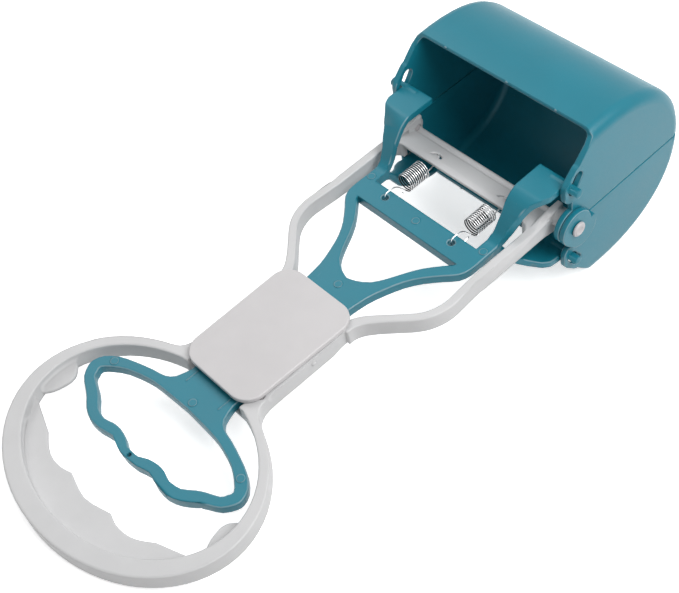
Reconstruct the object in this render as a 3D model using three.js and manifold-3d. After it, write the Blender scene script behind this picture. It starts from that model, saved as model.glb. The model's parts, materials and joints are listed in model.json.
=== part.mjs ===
// Pooper scooper: a hand ring and shank carry a bucket of two hinged jaws, and a sliding trigger opens
// the jaws against two tension springs. Lengths are millimetres and angles are radians. The tool's own
// frame has its origin in the middle of the jaws' hinge axis, +X across, +Y towards the nose of the jaws
// and +Z up through the cover plate. At the end the tool is leaned onto its two resting places.
import * as THREE from "three";
import { mergeVertices } from "three/addons/utils/BufferGeometryUtils.js";
import Module from "manifold-3d";

const wasm = await Module();
wasm.setup();

// Clearances, and how far a cutting shape runs past a face
const GAP = 0.3;
const GUIDE_PLAY = 0.35;
const OVERRUN = 6;

// Frame: hand ring, an oval with walls of three widths
const FRAME_HALF_THICKNESS = 4;
const RING_CENTRE_Y = -184.4;
const RING_HALF_WIDTH = 57.6;
const RING_HALF_LENGTH = 43.7;
const RING_SIDE_WALL = 5.6;
const RING_FRONT_WALL = 3.7;
const RING_REAR_WALL = 7.7;
const RING_INNER_HALF_WIDTH = RING_HALF_WIDTH - RING_SIDE_WALL;
const RING_INNER_HALF_LENGTH = RING_HALF_LENGTH - (RING_FRONT_WALL + RING_REAR_WALL) / 2;
const RING_INNER_CENTRE_Y = RING_CENTRE_Y + (RING_REAR_WALL - RING_FRONT_WALL) / 2;
const RING_FRONT_Y = RING_CENTRE_Y + RING_HALF_LENGTH;

// Frame: palm web and side tabs, whose edges are shares of the ring's inner half width and half length
const WEB_DROP = 2.6;
const WEB_THICKNESS = 2;
const PALM_MIDDLE_SHARES = [[-0.233, -0.597], [0, -0.671], [0.233, -0.597]];
const PALM_SIDE_SHARES = [[0.233, -0.597], [0.337, -0.634], [0.452, -0.626], [0.548, -0.576],
  [0.648, -0.484]];
const PALM_END_SHARES = [[0.648, -0.484], [0.788, -0.416], [0.915, -0.355], [1.1, -0.28]];
const TAB_SHARES = [[1.1, -0.36], [0.971, -0.266], [0.913, -0.166], [0.885, -0.03], [0.885, 0.055],
  [0.923, 0.142], [1.1, 0.34]];

// Frame: shank with the channel that the trigger slides in
const SHANK_HALF_WIDTH = 20.5;
const SHANK_WAIST_HALF_WIDTH = 19.8;
const SHANK_WAIST_Y = -100;
const SHANK_FRONT_Y = -92;
const SHANK_FLOOR_THICKNESS = 1.5;
const SHANK_FLARE_LENGTH = 6;
const SHANK_FLARE_WIDTH = 6;
const SHANK_RING_OVERLAP = 1.1;
const CHANNEL_REAR_HALF_WIDTH = 15.5;
const CHANNEL_FRONT_HALF_WIDTH = 17.3;
const GUIDE_REAR_Y = -138;
const GUIDE_FRONT_Y = -106;

// Frame: arms, as shares of the straight part's place across and of the root's distance from the hinge
const ARM_HALF_SPAN = 39.3;
const ARM_ROOT_Y = -97;
const ARM_ROOT_WALL = 4.9;
const ARM_WALL = 3.6;
const ARM_CENTRE_SHARES = [[0.473, 1], [0.483, 0.964], [0.529, 0.924], [0.623, 0.879], [0.761, 0.824],
  [0.903, 0.765], [0.98, 0.713], [1.023, 0.644], [1.015, 0.562], [1, 0.454], [1, 0.258], [1, 0.06]];

// Frame: upright end plates of the arms, with a boss round each hinge pin
const PLATE_HALF_HEIGHT = 5.9;
const PLATE_WALL = 2.6;
const PLATE_FRONT_Y = 2.4;
const PLATE_LEVEL_LENGTH = 6;
const PLATE_SLOPE_LENGTH = 11;
const BOSS_RADIUS = 4.4;

// Frame: spring bar between the end plates, a level rim in front of a surface that slopes to the jaws
const BAR_RIM_REAR_Y = -13.7;
const BAR_RIM_WIDTH = 2.3;
const BAR_RIM_THICKNESS = 1.7;
const BAR_SLOPE_DROP = 5.6;
const BAR_THICKNESS = 2;
const BAR_FILLET = 4.2;
const SLIT_RADIUS = 2.4;
const SLIT_WIDTH = 1.2;
const SLIT_CENTRE_Y = -9.6;
const SLIT_SPAN_SHARE = 0.44;

// Cover plate over the channel, with pegs in the shank's walls and rails over the trigger
const COVER_REAR_Y = -146;
const COVER_FRONT_Y = -89.9;
const COVER_REAR_HALF_WIDTH = 19.5;
const COVER_FRONT_HALF_WIDTH = 20.3;
const COVER_CORNER_RADIUS = 8.5;
const COVER_THICKNESS = 2.3;
const COVER_EDGE_ROUND = 0.6;
const RAIL_WIDTH = 2;
const RAIL_INSET = 3;
const PEG_RADIUS = 0.9;
const PEG_LENGTH = 4;
const PEG_INSET = 1.8;

// Trigger: one flat moulding from the finger loop to the crossbar
const TRIGGER_HALF_THICKNESS = 2.2;
const TRIGGER_TRAVEL = 15;
const LOOP_REAR_Y = -188.1;
const LOOP_SIDE_GAP = 7;
const LOOP_HALF_WIDTH = RING_INNER_HALF_WIDTH - LOOP_SIDE_GAP;
const LOOP_LENGTH = 32.3;
const LOOP_OUTER_SHARES = [[0, 0], [0.133, 0.019], [0.251, 0.065], [0.384, 0.025], [0.522, 0.022],
  [0.644, 0.087], [0.733, 0.176], [0.827, 0.251], [0.927, 0.334], [0.991, 0.467], [1, 0.56],
  [0.962, 0.681], [0.856, 0.799], [0.7, 0.885], [0.522, 0.96], [0.4, 1], [0.322, 1.087]];
const LOOP_INNER_SHARES = [[0, 0.099], [0.067, 0.105], [0.151, 0.164], [0.256, 0.195], [0.344, 0.189],
  [0.444, 0.152], [0.556, 0.186], [0.656, 0.288], [0.733, 0.35], [0.844, 0.421], [0.873, 0.486],
  [0.889, 0.551], [0.822, 0.638], [0.689, 0.746], [0.489, 0.83], [0.333, 0.861], [0, 0.882]];
const GRIP_HOLE_RADIUS = 0.9;
const NECK_HALF_WIDTH = 12.5;
const NECK_REAR_Y = -147;
const NECK_FRONT_Y = -88;
const FORK_SIDE_GAP = 3.5;
const FORK_HALF_WIDTH = ARM_HALF_SPAN - ARM_WALL / 2 - FORK_SIDE_GAP;
const FORK_LENGTH = 53.3;
const FORK_OUTER_SHARES = [[0.397, 0.15], [0.465, 0.295], [0.553, 0.432], [0.671, 0.548],
  [0.824, 0.657], [0.95, 0.741], [1, 0.835], [1, 0.957]];
const FORK_INNER_SHARES = [[0, 0.191], [0.118, 0.216], [0.259, 0.278], [0.365, 0.379], [0.459, 0.497],
  [0.568, 0.615], [0.721, 0.732], [0.824, 0.801]];
const FORK_FRONT_Y = NECK_FRONT_Y + FORK_LENGTH;
const ARM_TIP_LENGTH = 7.7;
const ARM_TIP_WIDTH = 5.5;

// Trigger: four ribbons that leave the arm tips and end in level shelves with the side pins
const DRIVE_PIN_HEIGHT = 19.7;
const DRIVE_PIN_Y = 0.3;
const DRIVE_PIN_RADIUS = 1.9;
const RIBBON_THICKNESS = 3;
const RIBBON_REAR_Y = -31;
const RIBBON_SHELF_Y = -11.7;
const SHELF_FRONT_Y = 1.9;
const SHELF_INNER_X = 29.3;
const RIBBON_RISE_SHARES = [[0, 0.035], [0.14, 0.05], [0.28, 0.15], [0.38, 0.264], [0.534, 0.518],
  [0.632, 0.665], [0.782, 0.863], [0.896, 0.949], [1, 1]];
const RIBBON_FALL_SHARES = [[0, 0.035], [0.14, 0.05], [0.28, 0.17], [0.38, 0.33], [0.534, 0.58],
  [0.632, 0.67], [0.782, 0.785], [0.9, 0.85], [1, 0.895], [1.2, 0.96], [1.4, 1]];
const RIBBON_OUTER_SHARES = [[-0.25, 0], [0.26, 0.02], [0.518, 0.25], [0.803, 0.59], [0.958, 0.85],
  [1.14, 1]];

// Jaws: one shell profile for both, a superellipse about a centre ahead of the hinge
const JAW_CENTRE_Y = 19.7;
const JAW_HALF_LENGTH = 48.2;
const JAW_HALF_HEIGHT = 41.4;
const JAW_POWER = 2.2;
const JAW_HALF_WIDTH = 47.2;
const JAW_SHELL = 1.4;
const JAW_SIDE_WALL = 2.5;
const JAW_EDGE_ROUND = 5;
const JAW_LIP_Y = 12.5;
const JAW_REAR_SHARES = [[0.976, 0.937], [0.576, 0.816], [0.264, 0.708], [0, 0.604]];
const JAW_WALL_REAR_Y = 0;
const LUG_RADIUS = 8.2;
const LUG_PLAY = 0.3;
const LUG_THICKNESS = 2.5;
const LUG_ROOT_Y = 3.4;
const LUG_ROOT_Z = 4.2;
const JAW_OPEN_ANGLE = Math.PI / 4;
const SLOT_PLAY = 0.55;
const EAR_RIM = 2;
const EAR_DROP = 2.4;
const EAR_RISE = 1.3;

// Hinge pins
const PIN_RADIUS = 1.5;
const PIN_BORE_PLAY = 0.3;
const PIN_HEAD_RADIUS = 3.3;
const PIN_HEAD_HEIGHT = 1.4;

// Springs: coils, and hooks as shares of each hook's reach and of the coil's radius
const SPRING_X = 18.7;
const SPRING_Z = 1.2;
const COIL_REAR_Y = -27.6;
const COIL_RADIUS = 3.9;
const COIL_TURNS = 12;
const COIL_PITCH = 0.94;
const WIRE_RADIUS = 0.25;
const HOOK_HOLE_Y = -38.65;
const HOOK_HOLE_RADIUS = 1.5;
const REAR_HOOK_SHARES = [[-0.45, 0.51], [-0.6, 0.66], [-0.76, 0.69], [-0.93, 0.6], [-1, 0.3], [-1.01, -0.2],
  [-1, -0.8], [-0.93, -1.22], [-0.71, -1.38], [-0.36, -1.28], [-0.12, -1.1]];
const FRONT_HOOK_SHARES = [[0.25, -0.92], [0.7, -0.62], [0.92, -0.44], [0.99, -0.2], [1, 0.1], [1, 0.41]];

// Counts
const OVAL_STEPS = 72;
const ROUND_STEPS = 24;
const PROFILE_STEPS = 56;
const CURVE_STEPS = 3;
const TURN_STEPS = 8;
const WIRE_SIDES = 5;
const BEVEL_STEPS = 3;

// Places that follow from the sizes above
const ARM_INNER_X = ARM_HALF_SPAN - ARM_WALL / 2;
const PLATE_INNER_X = ARM_HALF_SPAN - PLATE_WALL / 2;
const PLATE_OUTER_X = ARM_HALF_SPAN + PLATE_WALL / 2;
const JAW_WALL_INNER_X = JAW_HALF_WIDTH - JAW_SIDE_WALL;
const OUTER_LUG_X = JAW_HALF_WIDTH + GAP;
const PIN_HEAD_X = OUTER_LUG_X + LUG_THICKNESS + GAP;
const SHELF_OUTER_X = JAW_WALL_INNER_X - 2 * GAP;
const DRIVE_PIN_END_X = PIN_HEAD_X + GAP;
const COIL_FRONT_Y = COIL_REAR_Y + COIL_TURNS * COIL_PITCH;
const PEG_X = SHANK_HALF_WIDTH - PEG_INSET - PEG_RADIUS / 2;
const PEG_PLACES = [[PEG_X, GUIDE_REAR_Y], [PEG_X, GUIDE_FRONT_Y]];

// Closed geometry to solid and back
function toSolid(geometry) {
  geometry.deleteAttribute("normal");
  geometry.deleteAttribute("uv");
  const merged = mergeVertices(geometry);
  const vertProperties = new Float32Array(merged.attributes.position.array);
  const triVerts = new Uint32Array(merged.index.array);
  return new wasm.Manifold(new wasm.Mesh({ numProp: 3, vertProperties, triVerts }));
}

function toGeometry(solid) {
  const mesh = solid.getMesh();
  const geometry = new THREE.BufferGeometry();
  geometry.setAttribute("position", new THREE.BufferAttribute(new Float32Array(mesh.vertProperties), 3));
  geometry.setIndex(new THREE.BufferAttribute(new Uint32Array(mesh.triVerts), 1));
  return geometry;
}

function joined(solids) {
  return solids.reduce((whole, piece) => whole.add(piece));
}

// Prism on an outline in the XY plane, between two heights, with any holes
function prism(outline, low, high, holes = []) {
  const shape = new THREE.Shape(outline.map(([x, y]) => new THREE.Vector2(x, y)));
  for (const hole of holes) {
    shape.holes.push(new THREE.Path(hole.map(([x, y]) => new THREE.Vector2(x, y))));
  }
  const geometry = new THREE.ExtrudeGeometry(shape, { depth: high - low, bevelEnabled: false });
  geometry.translate(0, 0, low);
  return toSolid(geometry);
}

// Prism on an outline of (y, z) points, between two places across
const ACROSS = new THREE.Matrix4().makeBasis(
  new THREE.Vector3(0, 1, 0), new THREE.Vector3(0, 0, 1), new THREE.Vector3(1, 0, 0));

function sidePrism(outline, from, to, bevel = 0) {
  const shape = new THREE.Shape(outline.map(([y, z]) => new THREE.Vector2(y, z)));
  const options = { depth: to - from - 2 * bevel, bevelEnabled: bevel > 0, bevelThickness: bevel,
    bevelSize: bevel, bevelOffset: -bevel, bevelSegments: BEVEL_STEPS };
  const geometry = new THREE.ExtrudeGeometry(shape, options);
  geometry.translate(0, 0, from + bevel);
  geometry.applyMatrix4(ACROSS);
  return toSolid(geometry);
}

// Outlines
function oval(halfWidth, halfLength, centreY, steps = OVAL_STEPS) {
  return Array.from({ length: steps }, (_, i) => {
    const angle = (2 * Math.PI * i) / steps;
    return [halfWidth * Math.cos(angle), centreY + halfLength * Math.sin(angle)];
  });
}

function disc(x, y, radius) {
  return oval(radius, radius, y, ROUND_STEPS).map(([px, py]) => [px + x, py]);
}

function smooth(points, steps = CURVE_STEPS) {
  const curve = new THREE.SplineCurve(points.map(([x, y]) => new THREE.Vector2(x, y)));
  return curve.getPoints(steps * (points.length - 1)).map((p) => [p.x, p.y]);
}

function scaled(shares, width, length, y) {
  return shares.map(([across, along]) => [across * width, y + along * length]);
}

function flipped(points) {
  return points.map(([x, y]) => [-x, y]).reverse();
}

// The right half of an outline, run from front to rear or rear to front, and its mirror image
function bothSides(rightHalf) {
  const onAxis = (point) => point[0] === 0;
  return [...rightHalf, ...flipped(rightHalf).filter((point) => !onAxis(point))];
}

// Outline round the straight path between two points
function capsule([y1, z1], [y2, z2], radius) {
  const heading = Math.atan2(z2 - z1, y2 - y1);
  const half = ROUND_STEPS / 2;
  return Array.from({ length: ROUND_STEPS + 2 }, (_, i) => {
    const first = i <= half;
    const angle = heading + Math.PI / 2 + (Math.PI * (first ? i : i - 1)) / half;
    return [(first ? y1 : y2) + radius * Math.cos(angle), (first ? z1 : z2) + radius * Math.sin(angle)];
  });
}

// Outline of a band round a centre line, with a width that runs from one value to another
function band(centre, startWidth, endWidth) {
  const left = [];
  const right = [];
  centre.forEach(([x, y], i) => {
    const before = centre[Math.max(i - 1, 0)];
    const after = centre[Math.min(i + 1, centre.length - 1)];
    const run = Math.hypot(after[0] - before[0], after[1] - before[1]);
    const share = Math.min((3 * i) / (centre.length - 1), 1);
    const half = (startWidth + (endWidth - startWidth) * share) / 2;
    const across = [-((after[1] - before[1]) / run) * half, ((after[0] - before[0]) / run) * half];
    left.push([x + across[0], y + across[1]]);
    right.push([x - across[0], y - across[1]]);
  });
  return [...left, ...right.reverse()];
}

// Frame
function handRing() {
  const outer = oval(RING_HALF_WIDTH, RING_HALF_LENGTH, RING_CENTRE_Y);
  const inner = oval(RING_INNER_HALF_WIDTH, RING_INNER_HALF_LENGTH, RING_INNER_CENTRE_Y);
  return prism(outer, -FRAME_HALF_THICKNESS, FRAME_HALF_THICKNESS, [inner]);
}

function ringOutline(shares) {
  return scaled(shares, RING_INNER_HALF_WIDTH, RING_INNER_HALF_LENGTH, RING_INNER_CENTRE_Y);
}

function ringWebs() {
  const low = -WEB_DROP;
  const high = WEB_THICKNESS - WEB_DROP;
  const room = prism(oval(RING_HALF_WIDTH - RING_SIDE_WALL / 2, RING_HALF_LENGTH - RING_FRONT_WALL / 2,
    RING_CENTRE_Y), low, high);
  const middle = smooth(ringOutline(PALM_MIDDLE_SHARES));
  const side = smooth(ringOutline(PALM_SIDE_SHARES));
  const end = smooth(ringOutline(PALM_END_SHARES));
  const right = [...side.slice(1), ...end.slice(1)];
  const rearY = RING_CENTRE_Y - RING_HALF_LENGTH;
  const palm = [...flipped(right), ...middle, ...right, [RING_HALF_WIDTH, rearY], [-RING_HALF_WIDTH, rearY]];
  const tab = smooth(ringOutline(TAB_SHARES));
  return joined([palm, tab, flipped(tab)].map((outline) => prism(outline, low, high).intersect(room)));
}

function ringEdgeY(x) {
  return RING_CENTRE_Y + RING_HALF_LENGTH * Math.sqrt(1 - (x / RING_HALF_WIDTH) ** 2);
}

function shank() {
  const flareX = SHANK_HALF_WIDTH + SHANK_FLARE_WIDTH;
  const flare = new THREE.QuadraticBezierCurve(
    new THREE.Vector2(flareX, ringEdgeY(flareX)),
    new THREE.Vector2(SHANK_HALF_WIDTH, ringEdgeY(SHANK_HALF_WIDTH)),
    new THREE.Vector2(SHANK_HALF_WIDTH, RING_FRONT_Y + SHANK_FLARE_LENGTH));
  const edge = flare.getPoints(2 * CURVE_STEPS).map((p) => [p.x, p.y]);
  const right = [[flareX, ringEdgeY(flareX) - SHANK_RING_OVERLAP], ...edge,
    [SHANK_HALF_WIDTH, SHANK_WAIST_Y - ARM_ROOT_WALL], [SHANK_WAIST_HALF_WIDTH, SHANK_WAIST_Y],
    [SHANK_WAIST_HALF_WIDTH, SHANK_FRONT_Y]];
  return prism(bothSides(right), -FRAME_HALF_THICKNESS, FRAME_HALF_THICKNESS);
}

function channelHalfWidth(y) {
  const share = (y - RING_FRONT_Y) / (SHANK_FRONT_Y - RING_FRONT_Y);
  return CHANNEL_REAR_HALF_WIDTH + (CHANNEL_FRONT_HALF_WIDTH - CHANNEL_REAR_HALF_WIDTH) * share;
}

function channel() {
  const rear = RING_FRONT_Y - RING_HALF_LENGTH / 2;
  const front = SHANK_FRONT_Y + OVERRUN;
  const right = [[CHANNEL_REAR_HALF_WIDTH, rear], [CHANNEL_REAR_HALF_WIDTH, RING_FRONT_Y],
    [channelHalfWidth(front), front]];
  const floor = SHANK_FLOOR_THICKNESS - FRAME_HALF_THICKNESS;
  return prism(bothSides(right), floor, FRAME_HALF_THICKNESS + OVERRUN);
}

function guides() {
  const inner = NECK_HALF_WIDTH + GUIDE_PLAY;
  const top = TRIGGER_HALF_THICKNESS + GAP;
  const right = [[inner, GUIDE_REAR_Y], [channelHalfWidth(GUIDE_REAR_Y) + GAP, GUIDE_REAR_Y],
    [channelHalfWidth(GUIDE_FRONT_Y) + GAP, GUIDE_FRONT_Y], [inner, GUIDE_FRONT_Y]];
  return [right, flipped(right)].map((outline) => prism(outline, -FRAME_HALF_THICKNESS, top));
}

function arms() {
  const centre = smooth(scaled(ARM_CENTRE_SHARES, ARM_HALF_SPAN, ARM_ROOT_Y, 0));
  const right = band(centre, ARM_ROOT_WALL, ARM_WALL);
  return [right, flipped(right)].map(
    (outline) => prism(outline, -FRAME_HALF_THICKNESS, FRAME_HALF_THICKNESS));
}

function endPlates() {
  const levelY = PLATE_FRONT_Y - PLATE_LEVEL_LENGTH;
  const rearY = levelY - PLATE_SLOPE_LENGTH;
  const slope = smooth([[levelY, PLATE_HALF_HEIGHT],
    [levelY - PLATE_SLOPE_LENGTH / 2, (PLATE_HALF_HEIGHT + FRAME_HALF_THICKNESS) / 2],
    [rearY, FRAME_HALF_THICKNESS]]);
  const top = [[PLATE_FRONT_Y, PLATE_HALF_HEIGHT], ...slope];
  const outline = [...top, ...top.map(([y, z]) => [y, -z]).reverse()];
  const bossEnd = JAW_WALL_INNER_X - GAP;
  const boss = disc(0, 0, BOSS_RADIUS);
  return [sidePrism(outline, PLATE_INNER_X, PLATE_OUTER_X),
    sidePrism(outline, -PLATE_OUTER_X, -PLATE_INNER_X),
    sidePrism(boss, ARM_HALF_SPAN, bossEnd), sidePrism(boss, -bossEnd, -ARM_HALF_SPAN)];
}

function springBar() {
  const rimFrontY = BAR_RIM_REAR_Y + BAR_RIM_WIDTH;
  const top = FRAME_HALF_THICKNESS;
  const endZ = top - BAR_SLOPE_DROP;
  const outline = [[BAR_RIM_REAR_Y, top], [rimFrontY, top], [PLATE_FRONT_Y, endZ],
    [PLATE_FRONT_Y, endZ - BAR_THICKNESS], [rimFrontY, top - BAR_THICKNESS],
    [BAR_RIM_REAR_Y, top - BAR_RIM_THICKNESS]];
  const fillet = [[ARM_HALF_SPAN, rimFrontY], [ARM_INNER_X - BAR_FILLET, rimFrontY]];
  for (let i = 0; i <= TURN_STEPS; i += 1) {
    const angle = (Math.PI / 2) * (1 - i / TURN_STEPS);
    fillet.push([ARM_INNER_X - BAR_FILLET + BAR_FILLET * Math.cos(angle),
      BAR_RIM_REAR_Y - BAR_FILLET + BAR_FILLET * Math.sin(angle)]);
  }
  fillet.push([ARM_HALF_SPAN, BAR_RIM_REAR_Y - BAR_FILLET]);
  const fillets = [fillet, flipped(fillet)].map(
    (corner) => prism(corner, -FRAME_HALF_THICKNESS, FRAME_HALF_THICKNESS));
  return [sidePrism(outline, -ARM_HALF_SPAN, ARM_HALF_SPAN), ...fillets];
}

// Curved slit that a spring's front hook comes up through
function slit(x) {
  const centre = [];
  for (let i = 0; i <= TURN_STEPS; i += 1) {
    const angle = Math.PI / 2 + Math.PI * SLIT_SPAN_SHARE * (1 - (2 * i) / TURN_STEPS);
    centre.push([x + SLIT_RADIUS * Math.cos(angle), SLIT_CENTRE_Y + SLIT_RADIUS * Math.sin(angle)]);
  }
  const reach = FRAME_HALF_THICKNESS + OVERRUN;
  return prism(band(centre, SLIT_WIDTH, SLIT_WIDTH), -reach, reach);
}

function handleFrame() {
  const body = joined([handRing(), ringWebs(), shank()]).subtract(channel());
  const whole = joined([body, ...guides(), ...arms(), ...endPlates(), ...springBar()]);
  const socketRadius = PEG_RADIUS + GAP;
  const socketEnd = FRAME_HALF_THICKNESS - PEG_LENGTH - GAP;
  const sockets = PEG_PLACES.flatMap(([x, y]) => [disc(x, y, socketRadius), disc(-x, y, socketRadius)])
    .map((outline) => prism(outline, socketEnd, FRAME_HALF_THICKNESS + OVERRUN));
  const bore = sidePrism(disc(0, 0, PIN_RADIUS + PIN_BORE_PLAY), -PIN_HEAD_X, PIN_HEAD_X);
  return whole.subtract(joined([slit(SPRING_X), slit(-SPRING_X), bore, ...sockets]));
}

// Cover plate, whose outline runs round two wide and two narrow corners
function coverOutline() {
  const corners = [[COVER_FRONT_HALF_WIDTH, COVER_FRONT_Y], [COVER_REAR_HALF_WIDTH, COVER_REAR_Y]];
  const right = corners.flatMap(([x, y], corner) => {
    const side = corner === 0 ? -1 : 1;
    const points = [];
    for (let i = 0; i <= TURN_STEPS; i += 1) {
      const angle = (Math.PI / 2) * (corner === 0 ? 1 - i / TURN_STEPS : -i / TURN_STEPS);
      points.push([x - COVER_CORNER_RADIUS + COVER_CORNER_RADIUS * Math.cos(angle),
        y + side * COVER_CORNER_RADIUS + COVER_CORNER_RADIUS * Math.sin(angle)]);
    }
    return points;
  });
  return bothSides(right);
}

function coverPlate() {
  const bottom = FRAME_HALF_THICKNESS + GAP;
  const shape = new THREE.Shape(coverOutline().map(([x, y]) => new THREE.Vector2(x, y)));
  const geometry = new THREE.ExtrudeGeometry(shape, { depth: COVER_THICKNESS - 2 * COVER_EDGE_ROUND,
    bevelThickness: COVER_EDGE_ROUND, bevelSize: COVER_EDGE_ROUND, bevelOffset: -COVER_EDGE_ROUND,
    bevelSegments: 1 });
  geometry.translate(0, 0, bottom + COVER_EDGE_ROUND);
  const inside = bottom + COVER_EDGE_ROUND;
  const railBottom = TRIGGER_HALF_THICKNESS + GAP;
  const railX = NECK_HALF_WIDTH - RAIL_INSET;
  const rail = [[railX, GUIDE_REAR_Y], [railX, GUIDE_FRONT_Y], [railX - RAIL_WIDTH, GUIDE_FRONT_Y],
    [railX - RAIL_WIDTH, GUIDE_REAR_Y]];
  const rails = [rail, flipped(rail)].map((outline) => prism(outline, railBottom, inside));
  const pegs = PEG_PLACES.flatMap(([x, y]) => [disc(x, y, PEG_RADIUS), disc(-x, y, PEG_RADIUS)])
    .map((outline) => prism(outline, FRAME_HALF_THICKNESS - PEG_LENGTH, inside));
  return joined([toSolid(geometry), ...rails, ...pegs]);
}

// Trigger
function triggerBlade() {
  const loop = smooth([...scaled(LOOP_OUTER_SHARES, LOOP_HALF_WIDTH, LOOP_LENGTH, LOOP_REAR_Y),
    [NECK_HALF_WIDTH, NECK_REAR_Y]], 2);
  const fork = smooth([[NECK_HALF_WIDTH, NECK_FRONT_Y],
    ...scaled(FORK_OUTER_SHARES, FORK_HALF_WIDTH, FORK_LENGTH, NECK_FRONT_Y)], 2);
  const tipY = FORK_FRONT_Y + ARM_TIP_LENGTH;
  const tipX = FORK_HALF_WIDTH - ARM_TIP_WIDTH;
  const right = [...loop, ...fork, [FORK_HALF_WIDTH, tipY], [tipX, tipY], [tipX, FORK_FRONT_Y]];
  const fingerHole = smooth(scaled(LOOP_INNER_SHARES, LOOP_HALF_WIDTH, LOOP_LENGTH, LOOP_REAR_Y), 2);
  const forkHole = smooth(scaled(FORK_INNER_SHARES, FORK_HALF_WIDTH, FORK_LENGTH, NECK_FRONT_Y), 2);
  const gripHoleY = LOOP_REAR_Y + (LOOP_INNER_SHARES[0][1] * LOOP_LENGTH) / 2;
  const holes = [bothSides(fingerHole), bothSides(forkHole), disc(0, gripHoleY, GRIP_HOLE_RADIUS),
    disc(SPRING_X, HOOK_HOLE_Y, HOOK_HOLE_RADIUS), disc(-SPRING_X, HOOK_HOLE_Y, HOOK_HOLE_RADIUS)];
  return prism(bothSides(right), -TRIGGER_HALF_THICKNESS, TRIGGER_HALF_THICKNESS, holes);
}

function ribbon(side, up) {
  const run = RIBBON_SHELF_Y - RIBBON_REAR_Y;
  const shares = up > 0 ? RIBBON_RISE_SHARES : RIBBON_FALL_SHARES;
  const rise = shares.map(([along, high]) => [RIBBON_REAR_Y + along * run, high * DRIVE_PIN_HEIGHT]);
  const centre = [...smooth(rise, 2), [SHELF_FRONT_Y, DRIVE_PIN_HEIGHT]].map(([y, z]) => [y, up * z]);
  const reach = side * JAW_HALF_WIDTH;
  const edge = band(centre, RIBBON_THICKNESS, RIBBON_THICKNESS);
  const innerX = FORK_HALF_WIDTH - ARM_TIP_WIDTH;
  const spread = SHELF_OUTER_X - FORK_HALF_WIDTH;
  const outer = RIBBON_OUTER_SHARES.map(
    ([along, out]) => [FORK_HALF_WIDTH + out * spread, RIBBON_REAR_Y + along * run]);
  const plan = [...smooth(outer, 2), [SHELF_OUTER_X, SHELF_FRONT_Y], [SHELF_INNER_X, SHELF_FRONT_Y],
    [SHELF_INNER_X, (RIBBON_REAR_Y + RIBBON_SHELF_Y) / 2], [innerX, RIBBON_REAR_Y], [innerX, FORK_FRONT_Y]];
  const high = up * (DRIVE_PIN_HEIGHT + OVERRUN);
  return sidePrism(edge, Math.min(0, reach), Math.max(0, reach))
    .intersect(prism(side > 0 ? plan : flipped(plan), Math.min(0, high), Math.max(0, high)));
}

function drivePin(side, up) {
  const from = (side * (SHELF_INNER_X + SHELF_OUTER_X)) / 2;
  const end = side * DRIVE_PIN_END_X;
  const outline = disc(DRIVE_PIN_Y, up * DRIVE_PIN_HEIGHT, DRIVE_PIN_RADIUS);
  return sidePrism(outline, Math.min(from, end), Math.max(from, end));
}

function trigger() {
  const corners = [[1, 1], [1, -1], [-1, 1], [-1, -1]];
  return joined([triggerBlade(), ...corners.flatMap(([side, up]) => [ribbon(side, up), drivePin(side, up)])]);
}

// Jaws, built as the upper one: a shell open to the rear and below, with side walls
function jawProfile(inset) {
  return Array.from({ length: PROFILE_STEPS }, (_, i) => {
    const angle = (2 * Math.PI * i) / PROFILE_STEPS;
    const bend = (value) => Math.sign(value) * Math.abs(value) ** (2 / JAW_POWER);
    return [JAW_CENTRE_Y + (JAW_HALF_LENGTH - inset) * bend(Math.cos(angle)),
      (JAW_HALF_HEIGHT - inset) * bend(Math.sin(angle))];
  });
}

function jawShell() {
  const outer = sidePrism(jawProfile(0), -JAW_HALF_WIDTH, JAW_HALF_WIDTH, JAW_EDGE_ROUND);
  const cavity = sidePrism(jawProfile(JAW_SHELL), -JAW_WALL_INNER_X, JAW_WALL_INNER_X,
    JAW_EDGE_ROUND - JAW_SHELL);
  const top = JAW_HALF_HEIGHT + OVERRUN;
  const front = JAW_CENTRE_Y + JAW_HALF_LENGTH + OVERRUN;
  const rear = JAW_REAR_SHARES.map(([along, up]) => [along * JAW_LIP_Y, up * JAW_HALF_HEIGHT]);
  const kept = [[front, GAP / 2], [front, top], [JAW_LIP_Y, top], [JAW_LIP_Y, JAW_HALF_HEIGHT], ...rear,
    [JAW_WALL_REAR_Y, GAP / 2]];
  return outer.subtract(cavity).intersect(sidePrism(kept, -JAW_HALF_WIDTH, JAW_HALF_WIDTH));
}

// Where the middle of a drive pin lies in the upper jaw, when the trigger has gone a share of its travel
function drivePinInJaw(share) {
  const angle = JAW_OPEN_ANGLE * share;
  const y = DRIVE_PIN_Y - TRIGGER_TRAVEL * share;
  return [y * Math.cos(angle) + DRIVE_PIN_HEIGHT * Math.sin(angle),
    DRIVE_PIN_HEIGHT * Math.cos(angle) - y * Math.sin(angle)];
}

// Rounded outline round a drive pin's path in the upper jaw, with its ends moved by two heights
function pinPathOutline(radius, drop, rise) {
  const [restY, restZ] = drivePinInJaw(0);
  const [openY, openZ] = drivePinInJaw(1);
  const knee = [restY, restZ + rise];
  return [capsule([restY, restZ - drop], knee, radius), capsule(knee, [openY + rise, openZ + rise], radius)];
}

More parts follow.
